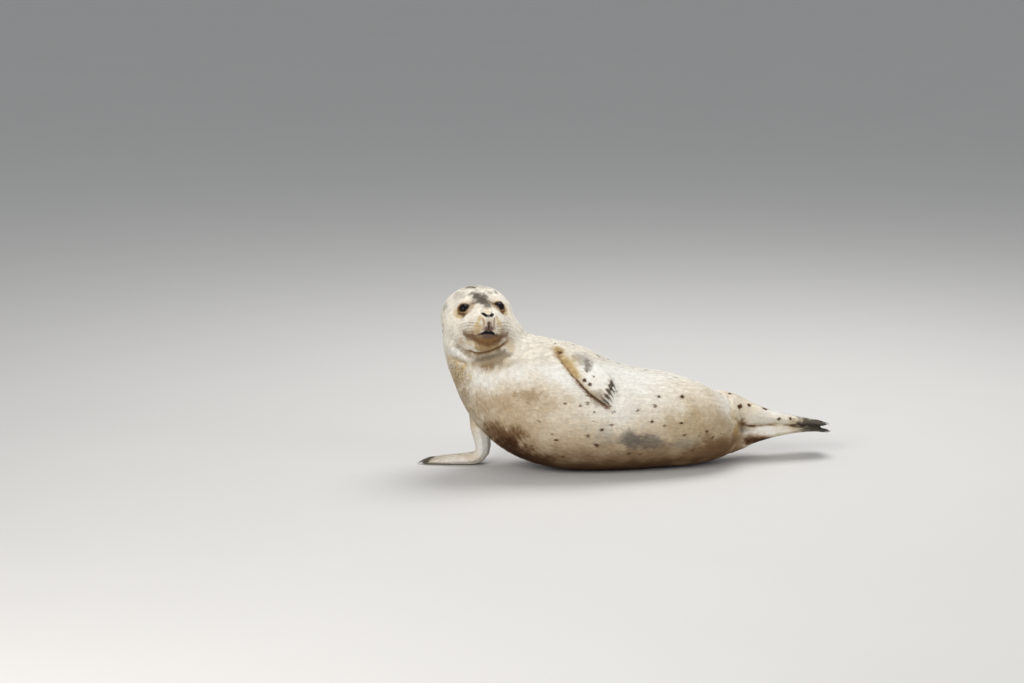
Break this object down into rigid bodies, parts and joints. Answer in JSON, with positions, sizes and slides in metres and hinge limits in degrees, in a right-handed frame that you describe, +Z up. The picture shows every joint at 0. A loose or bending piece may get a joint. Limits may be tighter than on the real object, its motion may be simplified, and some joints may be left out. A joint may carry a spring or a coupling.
{
  "type": "harbour seal",
  "caption": "Young harbour seal lying on its right side, propped on one fore flipper with its face turned to the viewer; a still, life-size model for display.",
  "frame": {"origin": "middle of the bounding box's bottom face, on the floor the seal rests on", "axes": "+X from the head to the hind flippers, +Y towards the seal's back, -Y towards its belly, +Z up"},
  "size_m": [1.0978, 0.3638, 0.4841],
  "materials": {
    "pelt": "short dense fur, creamy white with small dark spots and tan stains",
    "flipper": "very short fur over webbed digits, cream with brown and grey stains",
    "eye": "wet and glossy, nearly black",
    "claw": "smooth dark horn"
  },
  "bodies": {
    "root": {"head": "pelt", "neck": "pelt", "chest": "pelt", "abdomen": "pelt", "hips": "pelt", "tail": "pelt", "fore_flipper_left": "flipper", "fore_flipper_right": "flipper", "hind_flipper_left": "flipper", "hind_flipper_right": "flipper", "eye_left": "eye", "eye_right": "eye", "fore_flipper_left_claw_1": "claw", "fore_flipper_left_claw_2": "claw", "fore_flipper_left_claw_3": "claw", "fore_flipper_left_claw_4": "claw", "fore_flipper_left_claw_5": "claw", "fore_flipper_right_claw_1": "claw", "fore_flipper_right_claw_2": "claw", "fore_flipper_right_claw_3": "claw", "fore_flipper_right_claw_4": "claw", "fore_flipper_right_claw_5": "claw", "hind_flipper_left_claw_1": "claw", "hind_flipper_left_claw_2": "claw", "hind_flipper_left_claw_3": "claw", "hind_flipper_left_claw_4": "claw", "hind_flipper_left_claw_5": "claw", "hind_flipper_right_claw_1": "claw", "hind_flipper_right_claw_2": "claw", "hind_flipper_right_claw_3": "claw", "hind_flipper_right_claw_4": "claw", "hind_flipper_right_claw_5": "claw"}
  },
  "joints": []
}
